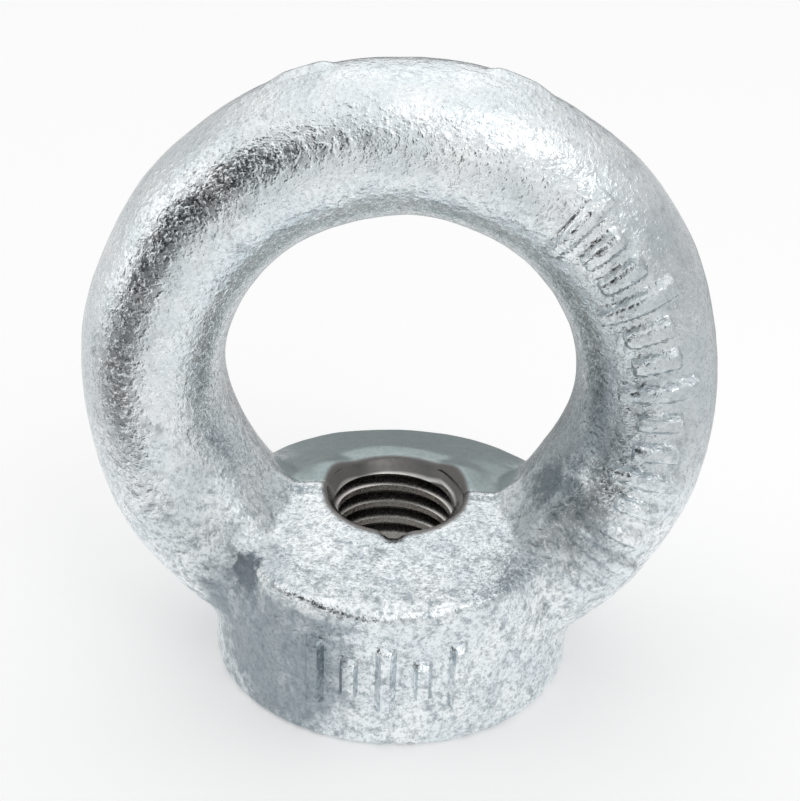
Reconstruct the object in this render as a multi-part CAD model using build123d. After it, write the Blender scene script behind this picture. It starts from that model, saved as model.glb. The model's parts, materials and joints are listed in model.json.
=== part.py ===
from build123d import *
import os
from math import hypot

# A drop-forged lifting eye nut: a ring standing on a round collar, tapped through for a stud.
# The origin is the centre of the flat seat, +Z points up through the ring, and the ring lies in XZ.
# All lengths are in millimetres and all angles in degrees.

# Ring
eye_diameter = 30.0          # clear opening of the ring
bar_thickness = 12.0         # radial thickness of the ring's bar round its upper half
foot_growth = 1.4            # radial thickness that the bar gains on its way to the bottom, all of it inwards
crown_width = 13.0           # width of the bar along Y at the top of the ring
foot_width = 18.0            # width of the bar along Y where it runs down into the collar
overall_height = 53.0        # seat to the top of the ring

# Collar and saddle
collar_diameter = 32.4       # round wall above the seat
ridge_height = 15.3          # seat to the ridge that crosses the bottom of the eye
front_rim_height = 12.6      # seat to the front edge of the saddle
front_bevel = 1.6            # width of the steep strip along the front edge
front_bevel_drop = 1.0       # how far that strip falls
rear_rim_height = 13.2       # seat to the rear edge of the saddle, the same all along it
land_radius = 8.4            # level land round the bore's rear half, inside the rear slope

# Threaded bore
thread_diameter = 12.0       # nominal diameter of the metric coarse thread
thread_pitch = 1.75
seat_countersink = 12.8      # diameter of the lead-in on the seat
mouth_diameter = 12.4        # diameter of the bore's open mouth
mouth_depth = 0.3            # ridge to the bottom of the mouth's straight wall

# Forged blends and edges
root_radius = 3.0            # ring to the collar's wall
seat_chamfer = 0.4           # collar's wall to the seat

ring_radius = (eye_diameter + bar_thickness) / 2
foot_radius = ring_radius - foot_growth / 2
ring_height = overall_height - bar_thickness - eye_diameter / 2
collar_radius = collar_diameter / 2
core_radius = thread_diameter / 2 - 0.54127 * thread_pitch
bottom_up = (Align.CENTER, Align.CENTER, Align.MIN)

def bar_section(path, share):
    """The bar's oval section at a share of the way along its middle line, growing towards the foot."""
    centre, onward = path @ share, path % share
    towards_foot = (ring_height + ring_radius - centre.Z) / (ring_radius + foot_radius)
    below_middle = max(0, ring_height - centre.Z) / foot_radius
    width = crown_width + (foot_width - crown_width) * towards_foot
    thickness = bar_thickness + foot_growth * below_middle
    outward = Vector(0, 1, 0).cross(onward)
    return Plane(origin=centre, x_dir=outward, z_dir=onward) * Ellipse(thickness / 2, width / 2)

def ring():
    """The ring, swept up one side from foot to crown and mirrored."""
    facing = Plane(origin=(0, 0, ring_height), x_dir=(1, 0, 0), z_dir=(0, -1, 0))
    lower = EllipticalCenterArc((0, 0), ring_radius, foot_radius, start_angle=-90, arc_size=90)
    upper = CenterArc((0, 0), ring_radius, 0, 90)
    path = Wire([facing * lower, facing * upper])
    sections = [bar_section(path, share) for share in (0, 0.25, 0.5, 0.75, 1)]
    half = sweep(sections, path=path, multisection=True)
    return half + mirror(half, about=Plane.YZ)

def front_space(reach):
    """What lies under the front slope, which falls from the ridge, then more steeply along its edge."""
    bevel_height = front_rim_height + front_bevel_drop
    steepness = front_bevel_drop / front_bevel
    slope_end = front_rim_height - steepness * (reach - collar_radius)
    outline = Polyline([(0, -reach), (0, ridge_height), (front_bevel - collar_radius, bevel_height),
                        (-reach, slope_end), (-reach, -reach)], close=True)
    return extrude(Plane.YZ * make_face(outline), amount=reach, both=True)

def rear_space(reach):
    """What lies under the rear half: a level land round the bore and a cone that falls to the rear edge."""
    fall = (ridge_height - rear_rim_height) / (collar_radius - land_radius)
    cone_end = ridge_height - fall * (reach - land_radius)
    outline = Polyline([(0, -reach), (0, ridge_height), (land_radius, ridge_height),
                        (reach, cone_end), (reach, -reach)], close=True)
    return revolve(Plane.XZ * make_face(outline), axis=Axis.Z, revolution_arc=180)

def on_wall(edge):
    """Whether an edge lies on the collar's round wall."""
    middle = edge @ 0.5
    return abs(hypot(middle.X, middle.Y) - collar_radius) < 0.001

def above_seat(reach):
    """What lies above the seat, less a bevel round the collar's lower edge."""
    kept = Cone(collar_radius - seat_chamfer, collar_radius, seat_chamfer, align=bottom_up)
    bevel = Cylinder(reach, seat_chamfer, align=bottom_up) - kept
    return Box(2 * reach, 2 * reach, 2 * reach, align=bottom_up) - bevel

def blank():
    """Ring and collar as one forging, before it is tapped: the leg blends, the saddle and the seat."""
    loop = ring()
    pillar_top = ridge_height + 1.5 * root_radius    # above the saddle, so that the blends run past it
    pillar = Rot(0, 0, 90) * Cylinder(collar_radius, 2 * pillar_top)
    joined = pillar + loop
    blended = fillet(new_edges(pillar, loop, combined=joined).filter_by(on_wall), root_radius)
    reach = overall_height + collar_radius    # further than any of the ring
    saddled = (blended & (front_space(reach) + rear_space(reach))) + loop
    return saddled & above_seat(reach)

def bore():
    """The tapping hole at the thread's core, with a lead-in at the seat and a wider mouth at the saddle."""
    hole = Cylinder(core_radius, 3 * ridge_height)
    seat_depth = seat_countersink / 2 - core_radius
    seat_cone = Cone(seat_countersink / 2, core_radius, seat_depth, align=bottom_up)
    mouth_radius = mouth_diameter / 2
    mouth_floor = ridge_height - mouth_depth
    mouth_cone = Cone(core_radius, mouth_radius, mouth_radius - core_radius,
                      align=(Align.CENTER, Align.CENTER, Align.MAX))
    mouth = Cylinder(mouth_radius, 2 * mouth_depth, align=bottom_up)
    return hole + seat_cone + Pos(0, 0, mouth_floor) * (mouth_cone + mouth)

eye_nut = blank() - bore()
eye_nut.label = "eye_nut"

os.makedirs("parts", exist_ok=True)
export_step(eye_nut, "parts/eye_nut.step")
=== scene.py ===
import json
from math import atan2, cos, degrees, hypot, radians, sin

import bpy
from mathutils import Matrix, Vector


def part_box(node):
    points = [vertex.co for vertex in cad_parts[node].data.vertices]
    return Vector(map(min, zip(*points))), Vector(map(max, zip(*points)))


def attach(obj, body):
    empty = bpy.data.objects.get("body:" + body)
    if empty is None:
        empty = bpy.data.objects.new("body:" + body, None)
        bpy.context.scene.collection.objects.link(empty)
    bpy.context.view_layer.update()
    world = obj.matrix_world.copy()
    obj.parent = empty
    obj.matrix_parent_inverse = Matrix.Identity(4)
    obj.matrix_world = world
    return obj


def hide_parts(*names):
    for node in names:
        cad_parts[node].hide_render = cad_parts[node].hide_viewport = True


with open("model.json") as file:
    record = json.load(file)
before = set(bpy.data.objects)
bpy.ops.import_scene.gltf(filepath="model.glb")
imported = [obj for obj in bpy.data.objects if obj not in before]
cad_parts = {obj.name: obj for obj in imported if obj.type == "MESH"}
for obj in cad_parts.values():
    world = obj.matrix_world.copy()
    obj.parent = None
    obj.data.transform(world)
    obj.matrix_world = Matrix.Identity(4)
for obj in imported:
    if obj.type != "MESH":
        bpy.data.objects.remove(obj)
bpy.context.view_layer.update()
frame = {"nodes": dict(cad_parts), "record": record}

# A drop-forged, hot-dip galvanised lifting eye nut. Lengths are in metres and angles in degrees.
# The seat is at z = 0, the ring stands over it in the XZ plane, and the front is the -Y side.

low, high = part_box("eye_nut")
mounts = {mount["name"]: mount for mount in frame["record"]["mounts"]}

# The forging's main sizes, as the frame has them
RING_OUTSIDE = (high.x - low.x) / 2
RING_HEIGHT = high.z - RING_OUTSIDE
COLLAR_RADIUS = (high.y - low.y) / 2
BORE_RADIUS = mounts["stud_thread"]["dims"]["r_mm"] / 1000
BAR_HALF = 0.0060
RING_RADIUS = RING_OUTSIDE - BAR_HALF
RIDGE_HEIGHT = 0.0153
WALL_TOP = 0.0115
FRONT_SLOPE = 0.116

# Metric coarse thread. The flank's slope is the tangent of 30 degrees
THREAD_PITCH = 0.00175
THREAD_MAJOR = 0.0060
THREAD_MINOR = 0.00515
THREAD_TOP = 0.0190
THREAD_START = -0.00035
FLANK_SLOPE = 0.577
TURN_STEPS = 72

# The forged skin: its grid, the share of its triangles that is kept, and its clouds' size, depth and height
SKIN_STEP = 0.00026
SKIN_SHARE = 0.62
UNEVENNESS = {"swell": (0.0075, 0, 0.00036), "dents": (0.0024, 1, 0.00009)}
WELD = 1e-6
SMOOTH_ANGLE = 40

# A leg's shoulder block, as it stands on the right: inner and outer x, front and rear y
SHOULDER_TOP = 0.0230
SHOULDER_TOP_X = (0.0168, 0.0234)
SHOULDER_TOP_Y = (-0.0050, 0.0015)
SHOULDER_FOOT_X = (0.0076, 0.0145)
SHOULDER_FOOT_REAR = -0.0010
SHOULDER_FRONT_LEFT = -0.0098
SHOULDER_FRONT_RIGHT = -0.0090
SHOULDER_ROUND = 0.0031

# Places on the skin: a centre, and how far it reaches along each axis
LEFT_LIP = (-0.0062, 0.0028, RIDGE_HEIGHT), (0.0036, 0.0038, 0.0045)
RIGHT_LIP = (0.0056, 0.0032, RIDGE_HEIGHT), (0.0034, 0.0036, 0.0045)
NICK = (0, -0.0052, 0.0145), (0.0016, 0.0028, 0.0040)
LOW_REAR = (0.0082, 0.0020, RIDGE_HEIGHT), (0.0036, 0.0060, 0.0040)
FLAT_SIDE = (RING_OUTSIDE + 0.001, 0, RING_HEIGHT + 0.003), (0.0090, 0.0100, 0.0150)

# The same for places on both sides, as they are on the right
WORN_CORNER = (0.0122, -0.0110, 0.0132), (0.0050, 0.0045, 0.0045)
LEG_SHOULDER = (0.0140, -0.0070, 0.0170), (0.0070, 0.0065, 0.0090)
LEG_INSIDE = (0.0138, 0, 0.0205), (0.0050, 0.0080, 0.0085)
LEG_ROOT = (0.0105, 0.0010, 0.0165), (0.0050, 0.0050, 0.0050)

# Raised bars: on the ring by angle up from the right, on the collar by angle round from the right
LONG = 0.0060
SHORT = 0.0034
RING_BARS = [(51 - 7 * step, SHORT if step % 3 else LONG) for step in range(14)]
COLLAR_BARS = [(-111 + 10.5 * step, SHORT if step % 2 else LONG) for step in range(5)]
BAR_WIDTH = 0.0013
BAR_EDGE = 0.0002
BAR_HEIGHT = 0.0007
COLLAR_BAR_MIDDLE = 0.0068

# The zinc's colours, with the colours of its painted shade
ZINC = (0.80, 0.86, 0.89)
BRIGHT_ZINC = (0.95, 0.98, 0.99)
MOTTLED = (0.32, 0.38, 0.42)
SPECKLED = (0.25, 0.30, 0.33)
# Colour of a dark, streaky dab at the saddle's left front corner
DARK_DAB_COLOUR = (0.12, 0.15, 0.18)
# Painted shade on the collar's left front wall
WALL_PAINTED_SHADE = (0.22, 0.27, 0.30)
# Painted shade on the right leg's inner side and its foot
LEG_PAINTED_SHADE = (0.21, 0.25, 0.27)
# Painted shade on the ring's right side
SIDE_PAINTED_SHADE = (0.36, 0.41, 0.44)
# Painted shade on the smooth land behind the ridge
LAND_PAINTED_SHADE = (0.31, 0.38, 0.38)
THREAD_CREST = (0.85, 0.82, 0.78)
# Painted shade in the thread's grooves, which lie deeper in the bore than its crests
GROOVE_PAINTED_SHADE = (0.17, 0.16, 0.155)
BLACK = (0, 0, 0)
WHITE = (1, 1, 1)

# Patches in the zinc, four of them painted shade: a centre and a reach
# A dark, streaky dab at the saddle's left front corner
DARK_DAB = (-0.0118, -0.0098, 0.0125), 0.0026
# Where painted shade darkens the collar's left front wall
WALL_SHADE = (-0.0105, -0.0135, 0.0070), 0.0130
# Where painted shade darkens the right leg's inner side
INSIDE_SHADE = (0.0150, 0.0010, 0.0240), 0.0130
# Where painted shade darkens the right leg's foot, by the saddle
FOOT_SHADE = (0.0135, -0.0065, 0.0170), 0.0070
# Where painted shade darkens the ring's right side
SIDE_SHADE = (0.0215, -0.0040, 0.0320), 0.0180
LEFT_FROST = (-0.0155, -0.0090, 0.0155), 0.0080
RIGHT_FROST = (0.0150, -0.0090, 0.0150), 0.0070

# The studio's bright parts: azimuth from the front round to the right, elevation, outer and inner
# half-width, and brightness
STUDIO_LEVEL = 0.64
BRIGHT_PARTS = (
    (0, 85, 60, 20, 0.38),
    (-82, 18, 34, 10, 0.55),
    (0, 34, 26, 8, 0.05),
    (14, 2, 36, 14, 0.30),
    (180, 42, 36, 12, 0.35),
)

# The same for its dark drapes, with darkness in place of brightness
DRAPES = ((-38, 7, 36, 23, 1.0), (180, -6, 28, 12, 0.9))

# Floor cards: radius, place and grey
CARDS = {
    "left_card": (0.115, (-0.125, -0.080, 0.0004), 0.04),
    "front_left_card": (0.34, (-0.300, -0.360, 0.0008), 0.04),
    "rear_card": (0.13, (0.02, 0.14, 0.0004), 0.30),
}

# Floor and background
FLOOR_SIZE = 3.0
FLOOR_GREY = 0.80
# Reach of the painted pool of light round the nut, seen only in reflections
FLOOR_GLOW_REACH = 0.080
BACKGROUND_GREY = 0.94

# Camera
CAMERA_DISTANCE = 0.110
CAMERA_ELEVATION = 25.563
CAMERA_AZIMUTH = 1.036
CAMERA_ROLL = 2.05
CAMERA_TARGET = Vector((0.00007, 0, 0.02414))
CAMERA_LENS = 57.53
CAMERA_SENSOR = 36
CAMERA_CLIP_START = 0.005


class Wire:
    """One output of a shader's nodes. Sums and products of wires add their Math nodes."""

    def __init__(self, tree, socket=None):
        self.tree = tree
        self.socket = socket

    def node(self, kind, settings=None, sockets=None, output=0):
        """Adds a node of a kind, sets it up, feeds its sockets and gives one of its outputs."""
        made = self.tree.nodes.new(kind)
        for name, value in (settings or {}).items():
            setattr(made, name, value)
        for name, value in (sockets or {}).items():
            if isinstance(value, Wire):
                self.tree.links.new(value.socket, made.inputs[name])
            else:
                made.inputs[name].default_value = value
        return Wire(self.tree, made.outputs[output] if made.outputs else None)

    def maths(self, operation, first, second=0.0):
        return self.node("ShaderNodeMath", {"operation": operation}, {0: first, 1: second})

    def __add__(self, other):
        return self.maths("ADD", self, other)

    def __sub__(self, other):
        return self.maths("SUBTRACT", self, other)

    def __rsub__(self, other):
        return self.maths("SUBTRACT", other, self)

    def __mul__(self, other):
        return self.maths("MULTIPLY", self, other)

    __radd__ = __add__
    __rmul__ = __mul__

    def between(self, start, end):
        """0 below start and 1 above end, with a smooth way between."""
        settings = {"interpolation_type": "SMOOTHSTEP"}
        return self.node("ShaderNodeMapRange", settings, {0: self, 1: start, 2: end})

    def noise(self, place, size, detail, roughness):
        """Even mottling with cells of a size in metres, from 0 to 1."""
        sockets = {"Vector": place, "Scale": 1 / size, "Detail": detail, "Roughness": roughness}
        return self.node("ShaderNodeTexNoise", None, sockets)

    def mix(self, share, first, second):
        """One colour turned into another by a share."""
        first, second = (c if isinstance(c, Wire) else opaque(c) for c in (first, second))
        # A Mix node's colours are its sockets 6 and 7, and its output 2
        return self.node("ShaderNodeMix", {"data_type": "RGBA"}, {0: share, 6: first, 7: second}, output=2)


def opaque(colour):
    return (*colour, 1)


def grey(level):
    return (level, level, level, 1)


# ---------------------------------------------------------------- working with objects

def deselect():
    bpy.ops.object.select_all(action="DESELECT")


def take(piece):
    """Selects one object alone and makes it the active one."""
    deselect()
    piece.select_set(True)
    bpy.context.view_layer.objects.active = piece


def newest():
    return bpy.context.view_layer.objects.active


def add_object(name, data):
    made = bpy.data.objects.new(name, data)
    bpy.context.scene.collection.objects.link(made)
    return made


def modifier(piece, kind, **settings):
    """Adds a modifier to a piece and applies it."""
    take(piece)
    made = piece.modifiers.new(kind.lower(), kind)
    for name, value in settings.items():
        setattr(made, name, value)
    bpy.ops.object.modifier_apply(modifier=made.name)


def cut_out(piece, tool):
    """Cuts a tool's form out of a piece and throws the tool away."""
    modifier(piece, "BOOLEAN", object=tool, operation="DIFFERENCE", solver="MANIFOLD")
    bpy.data.objects.remove(tool)


# ---------------------------------------------------------------- shares of a place, from 0 to 1

def step_up(value, start, end):
    """0 below start and 1 above end, with a smooth way between."""
    share = min(1, max(0, (value - start) / (end - start)))
    return share * share * (3 - 2 * share)


def band(value, start, full, fade, end):
    """1 between full and fade, and 0 outside start and end."""
    return step_up(value, start, full) * (1 - step_up(value, fade, end))


def near(place, centre, reach):
    """1 at a centre and 0 past a reach along each axis."""
    away = Vector([(place[axis] - centre[axis]) / reach[axis] for axis in range(3)]).length
    return 1 - step_up(away, 0, 1)


def on_right(place):
    """A place, or its mirror image where it is on the left."""
    return Vector((abs(place.x), place.y, place.z))


def forged_share(place):
    """How far the die's rough skin reaches: not on the seat and not in the bore."""
    off_seat = step_up(place.z, 0.0002, 0.0030)
    if place.z < THREAD_TOP + 0.0010:
        return off_seat * step_up(hypot(place.x, place.y), BORE_RADIUS + 0.0006, BORE_RADIUS + 0.0025)
    return off_seat


def mouth_lips(place):
    """Where the saddle is lifted, at the rear of the mouth on both sides."""
    return max(near(place, *LEFT_LIP), near(place, *RIGHT_LIP))


def mouth_nick(place):
    """The small notch in the mouth's front edge."""
    return near(place, *NICK)


def ridge_lip(place):
    """The ridge's two bright edges, one on each side of the mouth."""
    along = band(abs(place.x), 0.0055, 0.0070, 0.0095, 0.0115)
    across = 1 - step_up(abs(place.y + 0.0003), 0.0002, 0.0009)
    return along * across * step_up(place.z, 0.0130, 0.0140)


def low_saddle(place):
    """The saddle's right rear, which lies a little lower."""
    return near(place, *LOW_REAR)


def flat_side(place):
    """The ring's right side, which came out of the die a little flat."""
    return near(place, *FLAT_SIDE)


def front_rim(place):
    """The saddle's front rim, which the die left soft."""
    round_rim = step_up(hypot(place.x, place.y), COLLAR_RADIUS - 0.0045, COLLAR_RADIUS - 0.0030)
    return round_rim * band(place.z, 0.0100, WALL_TOP, 0.0145, 0.0155) * step_up(-place.y, 0, 0.003)


def worn_corner(place):
    """The corner of the saddle in front of each leg, where its edge fades out."""
    return near(on_right(place), *WORN_CORNER)


def leg_shoulder(place):
    """Each leg's shoulder, clear of its creases with the saddle and with the collar's wall."""
    above = step_up(place.z - RIDGE_HEIGHT + FRONT_SLOPE * abs(place.y), 0.0004, 0.0016)
    outside = step_up(hypot(place.x, place.y) - COLLAR_RADIUS, 0.0002, 0.0014)
    return near(on_right(place), *LEG_SHOULDER) * max(above, outside)


def full_inside(place):
    """The inner side of each leg, which is a little fuller than round."""
    return near(on_right(place), *LEG_INSIDE)


def lean_roots(place):
    """The hollows between the legs and the saddle's rear."""
    return near(on_right(place), *LEG_ROOT)


def on_bar(along, length, across):
    """1 on a bar's top and 0 off it, with soft edges, by how far a point is from its middle both ways."""
    ends = 1 - step_up(abs(along), length / 2 - BAR_EDGE, length / 2 + BAR_EDGE)
    return ends * (1 - step_up(abs(across), BAR_WIDTH / 2 - BAR_EDGE, BAR_WIDTH / 2 + BAR_EDGE))


def die_marks(place):
    """Plain long and short bars across the ring's right front and upright on the collar's front."""
    if place.y > 0:
        return 0
    if place.z < WALL_TOP and hypot(place.x, place.y) > COLLAR_RADIUS - 0.0008:
        angle, radius = degrees(atan2(place.y, place.x)), COLLAR_RADIUS
        along, bars = place.z - COLLAR_BAR_MIDDLE, COLLAR_BARS
    else:
        up = place.z - RING_HEIGHT
        angle, radius = degrees(atan2(up, place.x)), RING_RADIUS
        along, bars = hypot(place.x, up) - RING_RADIUS, RING_BARS
    return max(on_bar(along, length, radius * radians(angle - middle)) for middle, length in bars)


# ---------------------------------------------------------------- the forging

def forging_blank():
    """A closed copy of the eye nut's solid, to be given its marks and its forged skin."""
    piece = add_object("eye_nut_forging", frame["nodes"]["eye_nut"].data.copy())
    take(piece)
    bpy.ops.object.mode_set(mode="EDIT")
    bpy.ops.mesh.select_all(action="SELECT")
    bpy.ops.mesh.remove_doubles(threshold=WELD)
    bpy.ops.object.mode_set(mode="OBJECT")
    return piece


def shoulder(front):
    """The full inner front of the right leg's foot: a block with round edges that leans with the ring."""
    bpy.ops.mesh.primitive_cube_add(size=1)
    piece = newest()
    for corner in piece.data.vertices:
        outer, rear, top = corner.co.x > 0, corner.co.y > 0, corner.co.z > 0
        if top:
            corner.co = (SHOULDER_TOP_X[outer], SHOULDER_TOP_Y[rear], SHOULDER_TOP)
        else:
            corner.co = (SHOULDER_FOOT_X[outer], SHOULDER_FOOT_REAR if rear else front, WALL_TOP)
    modifier(piece, "BEVEL", width=SHOULDER_ROUND, segments=8, limit_method="NONE")
    return piece


def mirrored(piece):
    """Turns a piece of the right side into one of the left side."""
    piece.data.transform(Matrix.Scale(-1, 4, (1, 0, 0)))
    piece.data.flip_normals()
    return piece


def fuse(piece, parts):
    """Joins closed parts to the forging, for the skin to run over them all."""
    take(piece)
    for part in parts:
        part.select_set(True)
    bpy.ops.object.join()


def weigh(piece, name, share):
    """A vertex group whose weight at each point comes from its place."""
    group = piece.vertex_groups.new(name=name)
    for vertex in piece.data.vertices:
        weight = share(vertex.co)
        if weight > 0:
            group.add([vertex.index], weight, "REPLACE")
    return group.name


def push(piece, share, height, direction="NORMAL"):
    """Moves the skin outwards, or along an axis, where a share of place says."""
    group = weigh(piece, share.__name__, share)
    modifier(piece, "DISPLACE", direction=direction, strength=height, mid_level=0, vertex_group=group)


def soften(piece, share, times):
    """Smooths the skin where a share of place says."""
    group = weigh(piece, share.__name__ + "_soft", share)
    modifier(piece, "SMOOTH", factor=0.5, iterations=times, vertex_group=group)


def roughen(piece):
    """Leaves the skin uneven, away from the seat and the bore."""
    group = weigh(piece, "forged", forged_share)
    for name, (size, depth, height) in UNEVENNESS.items():
        texture = bpy.data.textures.new(name, "CLOUDS")
        texture.noise_scale = size
        texture.noise_depth = depth
        modifier(piece, "DISPLACE", texture=texture, texture_coords="LOCAL", strength=height,
                 mid_level=0.5, vertex_group=group)


def forge_skin(piece):
    """An even skin over the solid, softened, marked and then left uneven as a hot-forged one is."""
    modifier(piece, "REMESH", mode="VOXEL", voxel_size=SKIN_STEP)
    modifier(piece, "SMOOTH", factor=0.5, iterations=5)
    push(piece, mouth_lips, 0.0008, "Z")
    soften(piece, mouth_lips, 12)
    push(piece, mouth_nick, -0.0009, "Z")
    push(piece, flat_side, -0.00045)
    push(piece, low_saddle, -0.00035, "Z")
    push(piece, full_inside, 0.0006)
    soften(piece, leg_shoulder, 90)
    soften(piece, front_rim, 12)
    push(piece, worn_corner, -0.0007)
    soften(piece, worn_corner, 120)
    soften(piece, lean_roots, 40)
    push(piece, ridge_lip, 0.00040, "Z")
    push(piece, die_marks, BAR_HEIGHT)
    roughen(piece)
    modifier(piece, "DECIMATE", ratio=SKIN_SHARE)


def thread_tool():
    """A threaded rod that cuts the nut's internal thread, right-handed, from under the seat up into the eye."""
    depth = THREAD_MAJOR - THREAD_MINOR
    flat = THREAD_PITCH / 4 + 2 * (THREAD_MINOR - BORE_RADIUS) * FLANK_SLOPE
    flank = depth * FLANK_SLOPE
    crest = THREAD_PITCH - flat - 2 * flank
    bottom = -2 * THREAD_PITCH + THREAD_START
    points = [Vector((THREAD_MINOR, 0, bottom))]
    for step in ((0, 0, flat), (depth, 0, flank), (0, 0, crest), (-depth, 0, flank)):
        points.append(points[-1] + Vector(step))
    mesh = bpy.data.meshes.new("thread_tool")
    mesh.from_pydata(points, [(i, i + 1) for i in range(len(points) - 1)], [])
    tool = add_object("thread_tool", mesh)
    turns = round((THREAD_TOP - bottom) / THREAD_PITCH)
    modifier(tool, "SCREW", axis="Z", screw_offset=THREAD_PITCH, iterations=turns, steps=TURN_STEPS,
             render_steps=TURN_STEPS, use_merge_vertices=True, merge_threshold=WELD, use_normal_calculate=True)
    bpy.ops.object.mode_set(mode="EDIT")
    bpy.ops.mesh.select_all(action="SELECT")
    bpy.ops.mesh.remove_doubles(threshold=WELD)
    bpy.ops.mesh.select_all(action="DESELECT")
    bpy.ops.mesh.select_non_manifold()
    bpy.ops.mesh.edge_face_add()
    bpy.ops.mesh.select_all(action="SELECT")
    bpy.ops.mesh.quads_convert_to_tris()
    bpy.ops.mesh.normals_make_consistent(inside=False)
    bpy.ops.object.mode_set(mode="OBJECT")
    return tool


# ---------------------------------------------------------------- finishes

def new_material(name):
    material = bpy.data.materials.new(name)
    material.use_nodes = True
    material.node_tree.nodes.clear()
    return material, Wire(material.node_tree)


def object_place(wire):
    """Each point's place on its own object."""
    return wire.node("ShaderNodeTexCoord", output=3)


def round_patch(wire, place, centre, reach):
    """1 at a round patch's centre and 0 past its reach."""
    away = wire.node("ShaderNodeVectorMath", {"operation": "DISTANCE"}, {0: place, 1: centre}, output=1)
    return 1 - away.between(0.3 * reach, reach)


def ragged_shade(wire, place, centre, reach):
    """A round patch of painted shade with a ragged, blotchy edge."""
    blotches = wire.noise(place, size=0.0035, detail=3, roughness=0.6) * 1.4
    rags = wire.noise(place, size=0.0010, detail=4, roughness=0.7) * 1.2
    return (round_patch(wire, place, centre, reach) + blotches + rags - 1.3).between(0.10, 1.00)


def galvanised_steel():
    """Hot-dip zinc over forged steel: bright and grainy, dull in patches, with a dark dab at the saddle's left
    front corner, painted shade on the collar's left wall, the right leg, the ring's right side and the land behind
    the ridge, and bare steel in the bore with painted shade in its thread grooves.
    """
    material, wire = new_material("galvanised_steel")
    place = object_place(wire)
    x, y, z = [wire.node("ShaderNodeSeparateXYZ", None, {0: place}, output=axis) for axis in range(3)]
    from_axis = wire.maths("POWER", x * x + y * y, 0.5)

    # The parts of the nut that look different: the bore, whose thread grooves get painted shade, the collar's wall,
    # and the smooth land behind the ridge, which gets painted shade
    in_bore = (1 - from_axis.between(0.0063, 0.0068)) * (1 - z.between(0.0168, 0.0176))
    # Where the thread's grooves get painted shade
    groove_shade = from_axis.between(0.0052, 0.0055)
    low_down = 1 - z.between(0.0100, 0.0320)
    wall = 1 - z.between(WALL_TOP, 0.0135)
    over_land = z + wire.maths("MAXIMUM", y - 0.0080, 0) * 0.27
    on_land = over_land.between(0.0135, 0.0143) * (1 - over_land.between(0.0160, 0.0170))
    # The smooth land behind the ridge, which gets painted shade as well as a rougher, calmer finish
    smooth_shaded_land = y.between(0.0003, 0.0010) * on_land * (1 - from_axis.between(0.0158, 0.0164))

    # The zinc's own pattern, from the widest cells to the finest
    patches = wire.noise(place, size=0.0040, detail=4, roughness=0.6).between(0.35, 0.65)
    dents = wire.noise(place, size=0.0016, detail=2, roughness=0.5)
    mottle = wire.noise(place, size=0.0010, detail=5, roughness=0.75).between(0.45, 0.66)
    crust = wire.noise(place, size=0.00065, detail=2, roughness=0.5).between(0.45, 0.75)
    streaks = wire.noise(place, size=0.00060, detail=3, roughness=0.6) * 1.6
    speckle = wire.noise(place, size=0.00036, detail=3, roughness=0.7).between(0.46, 0.70)
    grain = wire.noise(place, size=0.00030, detail=2, roughness=0.6).between(0.50, 0.75)
    spangle = wire.noise(place, size=0.00026, detail=2, roughness=0.6)

    # A dark dab, patches of painted shade, and frosted, rougher zinc
    # A dark, streaky dab at the saddle's left front corner
    dark_dab = (round_patch(wire, place, *DARK_DAB) + streaks).between(1.10, 1.60)
    # Painted shade on the collar's left front wall, ragged at its edge, which is also a little rougher
    wall_shade = ragged_shade(wire, place, *WALL_SHADE) * wall
    # Painted shade on the right leg's inner side and its foot
    leg_shade = ragged_shade(wire, place, *INSIDE_SHADE) + ragged_shade(wire, place, *FOOT_SHADE) * 0.6
    # Painted shade on the ring's right side
    side_shade = ragged_shade(wire, place, *SIDE_SHADE)
    frost = round_patch(wire, place, *LEFT_FROST) + round_patch(wire, place, *RIGHT_FROST)

    # Each step lays one more colour over those before it
    zinc = wire.mix(patches, ZINC, BRIGHT_ZINC)
    zinc = wire.mix(mottle * (low_down * 0.55 + 0.18), zinc, MOTTLED)
    zinc = wire.mix(speckle * (low_down * 0.35 + 0.25), zinc, SPECKLED)
    # Lays the dark dab
    zinc = wire.mix(dark_dab * 0.85, zinc, DARK_DAB_COLOUR)
    # Lays the painted shade of the collar's left wall
    zinc = wire.mix(wall_shade * 0.80, zinc, WALL_PAINTED_SHADE)
    # Lays the painted shade of the right leg
    zinc = wire.mix(leg_shade * 0.72, zinc, LEG_PAINTED_SHADE)
    # Lays the painted shade of the ring's right side
    zinc = wire.mix(side_shade * 0.40, zinc, SIDE_PAINTED_SHADE)
    # Lays painted shade on the land behind the ridge
    zinc = wire.mix(smooth_shaded_land * 0.85, zinc, LAND_PAINTED_SHADE)
    # Bare steel in the bore, with painted shade in the thread's grooves
    zinc = wire.mix(in_bore * 0.95, zinc, wire.mix(groove_shade, THREAD_CREST, GROOVE_PAINTED_SHADE))

    rough = 0.18 + (spangle + speckle) * 0.12 + wall_shade * 0.10 + smooth_shaded_land * 0.14 + frost * 0.25
    calm = (1 - in_bore) * (1 - smooth_shaded_land * 0.8)
    height = (grain * 0.00003 + crust * 0.00005 + dents * 0.00005) * calm
    relief = wire.node("ShaderNodeBump", None, {"Strength": 1.0, "Distance": 1.0, "Height": height})
    shader = wire.node("ShaderNodeBsdfPrincipled", None,
                       {"Metallic": 1.0, "Base Color": zinc, "Roughness": rough, "Normal": relief})
    wire.node("ShaderNodeOutputMaterial", None, {"Surface": shader})
    return material


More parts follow.
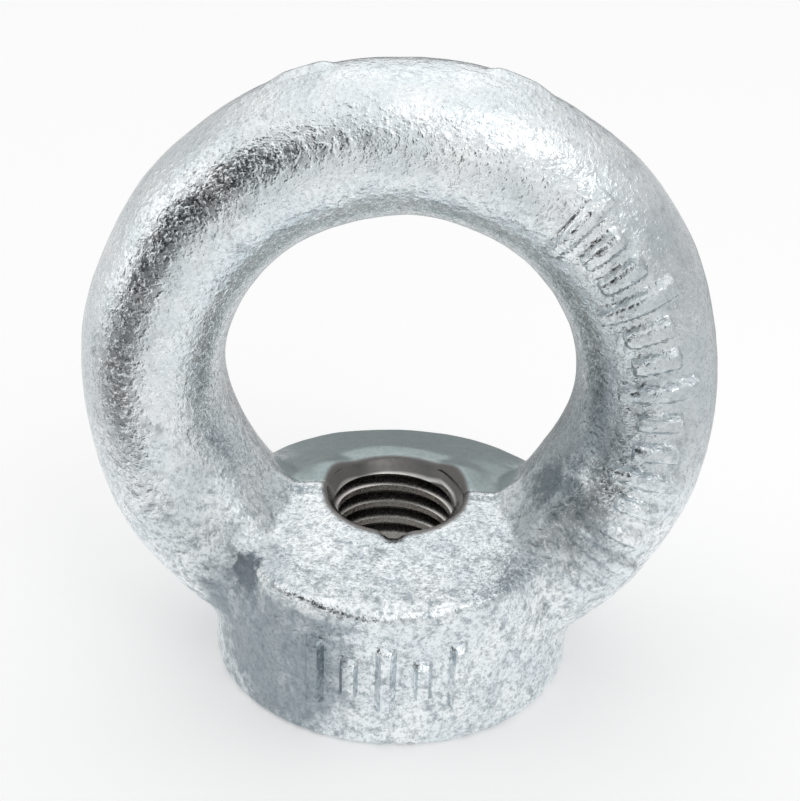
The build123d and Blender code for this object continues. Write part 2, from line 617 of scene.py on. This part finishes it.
def floor_finish():
    """A plain white floor, lifted to the background's white where it is seen, and a little where it is mirrored,
    with a painted pool of light round the nut that only the metal's reflections see.
    """
    material, wire = new_material("white_floor")
    seen, glossy, transmitted = [wire.node("ShaderNodeLightPath", output=name) for name in
                                 ("Is Camera Ray", "Is Glossy Ray", "Is Transmission Ray")]
    # A painted pool of light on the floor round the nut, seen only in the metal's reflections
    glow_pool = round_patch(wire, object_place(wire), (0, 0, 0), FLOOR_GLOW_REACH)
    lift = seen * 0.25 + (glossy + transmitted) * (glow_pool * 0.28 + 0.05)
    shader = wire.node("ShaderNodeBsdfPrincipled", None, {
        "Base Color": grey(FLOOR_GREY), "Roughness": 0.9, "Specular IOR Level": 0.0,
        "Emission Color": wire.mix(lift, BLACK, WHITE), "Emission Strength": 1.0})
    wire.node("ShaderNodeOutputMaterial", None, {"Surface": shader})
    return material


# ---------------------------------------------------------------- studio

def floor():
    bpy.ops.mesh.primitive_plane_add(size=FLOOR_SIZE, location=(0, 0, 0))
    plane = newest()
    plane.name = "floor"
    plane.data.materials.append(floor_finish())


def lobe(wire, way, azimuth, elevation, wide, narrow):
    """1 round one direction of the studio and 0 away from it. Azimuth 0 is the front and 90 the right."""
    level = cos(radians(elevation))
    towards = (level * sin(radians(azimuth)), -level * cos(radians(azimuth)), sin(radians(elevation)))
    alike = wire.node("ShaderNodeVectorMath", {"operation": "DOT_PRODUCT"}, {0: way, 1: towards}, output=1)
    return alike.between(cos(radians(wide)), cos(radians(narrow)))


def sky():
    """A soft white studio, brightest at the left and above, with drapes at the front left and low behind."""
    world = bpy.data.worlds.new("studio")
    bpy.context.scene.world = world
    world.use_nodes = True
    world.node_tree.nodes.clear()
    wire = Wire(world.node_tree)
    way = wire.node("ShaderNodeTexCoord", output=0)
    level = STUDIO_LEVEL
    for azimuth, elevation, wide, narrow, brightness in BRIGHT_PARTS:
        level = level + lobe(wire, way, azimuth, elevation, wide, narrow) * brightness
    for azimuth, elevation, wide, narrow, darkness in DRAPES:
        level = level * (1 - lobe(wire, way, azimuth, elevation, wide, narrow) * darkness)
    light = wire.node("ShaderNodeBackground", None, {"Color": opaque(WHITE), "Strength": level})
    seen = wire.node("ShaderNodeLightPath", output="Is Camera Ray")
    white = wire.node("ShaderNodeBackground", None, {"Color": grey(BACKGROUND_GREY), "Strength": 1.0})
    shown = wire.node("ShaderNodeMixShader", None, {0: seen, 1: light, 2: white})
    wire.node("ShaderNodeOutputWorld", None, {"Surface": shown})


def card(name, radius, place, level):
    """A round grey card on the floor outside the view, faded at its edge, only for the metal to mirror."""
    bpy.ops.mesh.primitive_circle_add(radius=radius, fill_type="NGON", location=place)
    flag = newest()
    flag.name = name
    flag.visible_camera = False
    flag.visible_diffuse = False
    flag.visible_shadow = False
    material, wire = new_material(name)
    solid = round_patch(wire, object_place(wire), (0, 0, 0), radius)
    clear = wire.node("ShaderNodeBsdfTransparent")
    matt = wire.node("ShaderNodeBsdfDiffuse", None, {"Color": grey(level)})
    shader = wire.node("ShaderNodeMixShader", None, {0: solid, 1: clear, 2: matt})
    wire.node("ShaderNodeOutputMaterial", None, {"Surface": shader})
    flag.data.materials.append(material)


def area_light(name, place, aim, size, power):
    data = bpy.data.lights.new(name, "AREA")
    data.shape = "DISK"
    data.size = size
    data.energy = power
    lamp = add_object(name, data)
    lamp.location = place
    lamp.rotation_euler = (Vector(aim) - Vector(place)).to_track_quat("-Z", "Y").to_euler()


def camera():
    data = bpy.data.cameras.new("camera")
    data.sensor_fit = "HORIZONTAL"
    data.sensor_width = CAMERA_SENSOR
    data.lens = CAMERA_LENS
    data.clip_start = CAMERA_CLIP_START
    eye = add_object("camera", data)
    turn = (Matrix.Rotation(radians(CAMERA_AZIMUTH), 4, "Z")
            @ Matrix.Rotation(radians(90 - CAMERA_ELEVATION), 4, "X")
            @ Matrix.Rotation(radians(CAMERA_ROLL), 4, "Z"))
    back = turn.to_3x3() @ Vector((0, 0, CAMERA_DISTANCE))
    eye.matrix_world = Matrix.Translation(CAMERA_TARGET + back) @ turn
    bpy.context.scene.camera = eye


deselect()
forging = forging_blank()
fuse(forging, [mirrored(shoulder(SHOULDER_FRONT_LEFT)), shoulder(SHOULDER_FRONT_RIGHT)])
forge_skin(forging)
cut_out(forging, thread_tool())
forging.data.materials.clear()
forging.data.materials.append(galvanised_steel())
take(forging)
bpy.ops.object.shade_smooth_by_angle(angle=radians(SMOOTH_ANGLE))
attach(forging, "root")
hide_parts("eye_nut")

floor()
sky()
for name, (radius, place, level) in CARDS.items():
    card(name, radius, place, level)
area_light("softbox", place=(0.25, -0.35, 0.50), aim=(0, 0, 0.02), size=0.30, power=0.3)
camera()
bpy.context.scene.view_settings.view_transform = "Standard"
